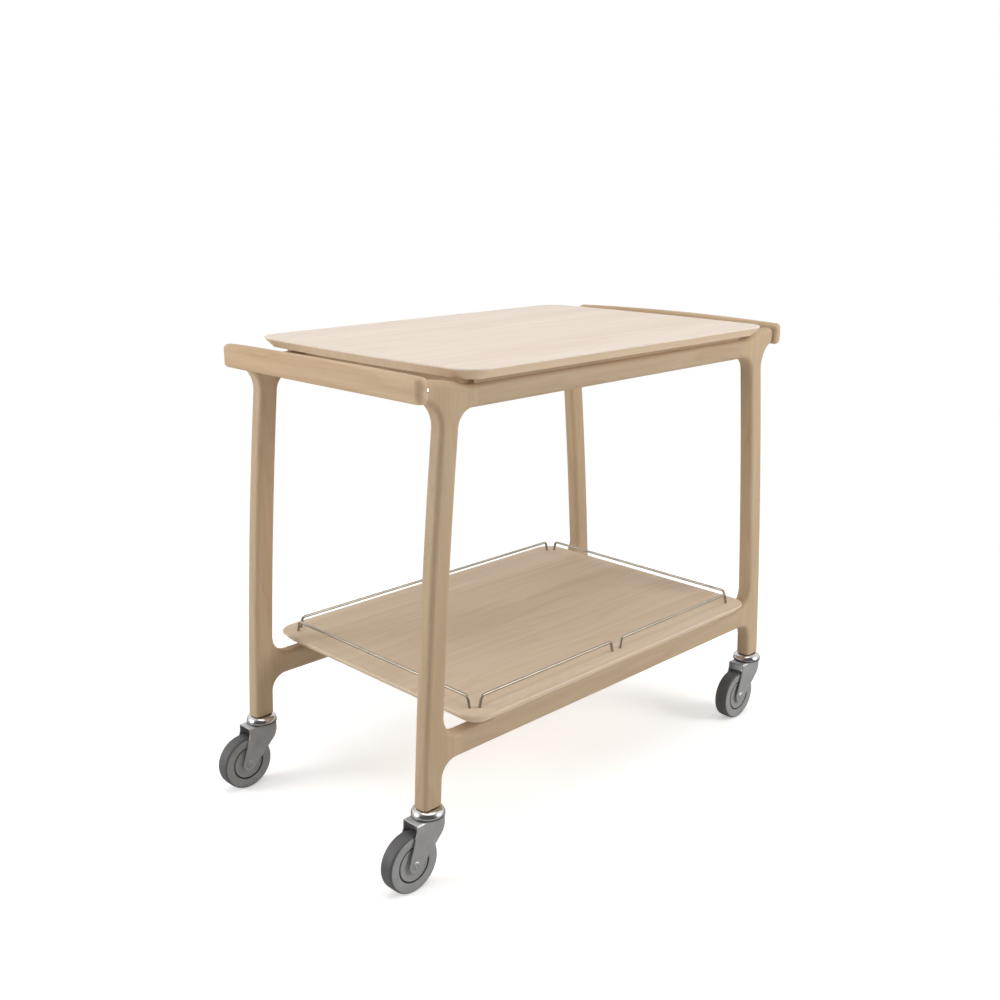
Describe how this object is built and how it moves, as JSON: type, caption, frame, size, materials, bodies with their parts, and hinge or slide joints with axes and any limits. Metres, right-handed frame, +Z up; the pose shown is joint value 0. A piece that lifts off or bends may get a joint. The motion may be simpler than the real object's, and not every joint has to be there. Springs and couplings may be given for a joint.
{
  "type": "serving cart",
  "caption": "Wooden serving cart with a fixed top board, an open lower shelf with a bent rod gallery, a handle bar at each end and swivel casters",
  "frame": {"origin": "on the floor, at the middle of the cart's bounding box with its casters trailing to -X", "axes": "+X along the cart to the right, +Y from the front side to the back side, +Z up"},
  "size_m": [1.034, 0.566, 0.84],
  "materials": {
    "frame_wood": "oiled, satin",
    "board_wood": "oiled, satin",
    "dowel_wood": "plain",
    "stainless": "satin",
    "tyre_rubber": "matt",
    "hub_plastic": "matt",
    "fork_steel": "zinc plated, satin",
    "cap_chrome": "polished",
    "hardware_steel": "plain"
  },
  "bodies": {
    "cart": {"back_left_gallery_rod": "stainless", "back_left_kingpin": "hardware_steel", "back_left_leg": "frame_wood", "back_left_spacer_disc": "stainless", "back_left_swivel_balls": "hardware_steel", "back_left_swivel_head": "cap_chrome", "back_right_gallery_rod": "stainless", "back_right_kingpin": "hardware_steel", "back_right_leg": "frame_wood", "back_right_spacer_disc": "stainless", "back_right_swivel_balls": "hardware_steel", "back_right_swivel_head": "cap_chrome", "back_stretcher": "frame_wood", "back_top_rail": "frame_wood", "front_left_gallery_rod": "stainless", "front_left_kingpin": "hardware_steel", "front_left_leg": "frame_wood", "front_left_spacer_disc": "stainless", "front_left_swivel_balls": "hardware_steel", "front_left_swivel_head": "cap_chrome", "front_right_gallery_rod": "stainless", "front_right_kingpin": "hardware_steel", "front_right_leg": "frame_wood", "front_right_spacer_disc": "stainless", "front_right_swivel_balls": "hardware_steel", "front_right_swivel_head": "cap_chrome", "front_stretcher": "frame_wood", "front_top_rail": "frame_wood", "handle_studs": "hardware_steel", "left_cross_rail": "frame_wood", "left_gallery_rod": "stainless", "left_handle_bar": "frame_wood", "lower_shelf": "board_wood", "rail_dowels": "dowel_wood", "right_cross_rail": "frame_wood", "right_gallery_rod": "stainless", "right_handle_bar": "frame_wood", "shelf_screws": "hardware_steel", "stem_inserts": "hardware_steel", "stretcher_dowels": "dowel_wood", "top_board": "board_wood", "top_board_screws": "hardware_steel"},
    "front_left_caster": {"front_left_fork": "fork_steel", "front_left_axle": "fork_steel"},
    "front_left_wheel": {"front_left_wheel_hub": "hub_plastic", "front_left_tyre": "tyre_rubber"},
    "front_right_caster": {"front_right_fork": "fork_steel", "front_right_axle": "fork_steel"},
    "front_right_wheel": {"front_right_wheel_hub": "hub_plastic", "front_right_tyre": "tyre_rubber"},
    "back_left_caster": {"back_left_fork": "fork_steel", "back_left_axle": "fork_steel"},
    "back_left_wheel": {"back_left_wheel_hub": "hub_plastic", "back_left_tyre": "tyre_rubber"},
    "back_right_caster": {"back_right_fork": "fork_steel", "back_right_axle": "fork_steel"},
    "back_right_wheel": {"back_right_wheel_hub": "hub_plastic", "back_right_tyre": "tyre_rubber"}
  },
  "joints": [
    {"name": "front_left_swivel", "type": "hinge", "parent": "cart", "child": "front_left_caster", "pos_m": [-0.425, -0.239, 0.1175], "axis": [0, 0, 1], "continuous": true},
    {"name": "front_left_roll", "type": "hinge", "parent": "front_left_caster", "child": "front_left_wheel", "pos_m": [-0.467, -0.239, 0.05], "axis": [0, 1, 0], "continuous": true},
    {"name": "front_right_swivel", "type": "hinge", "parent": "cart", "child": "front_right_caster", "pos_m": [0.4846, -0.239, 0.1175], "axis": [0, 0, 1], "continuous": true},
    {"name": "front_right_roll", "type": "hinge", "parent": "front_right_caster", "child": "front_right_wheel", "pos_m": [0.4426, -0.239, 0.05], "axis": [0, 1, 0], "continuous": true},
    {"name": "back_left_swivel", "type": "hinge", "parent": "cart", "child": "back_left_caster", "pos_m": [-0.425, 0.239, 0.1175], "axis": [0, 0, 1], "continuous": true},
    {"name": "back_left_roll", "type": "hinge", "parent": "back_left_caster", "child": "back_left_wheel", "pos_m": [-0.467, 0.239, 0.05], "axis": [0, 1, 0], "continuous": true},
    {"name": "back_right_swivel", "type": "hinge", "parent": "cart", "child": "back_right_caster", "pos_m": [0.4846, 0.239, 0.1175], "axis": [0, 0, 1], "continuous": true},
    {"name": "back_right_roll", "type": "hinge", "parent": "back_right_caster", "child": "back_right_wheel", "pos_m": [0.4426, 0.239, 0.05], "axis": [0, 1, 0], "continuous": true}
  ]
}
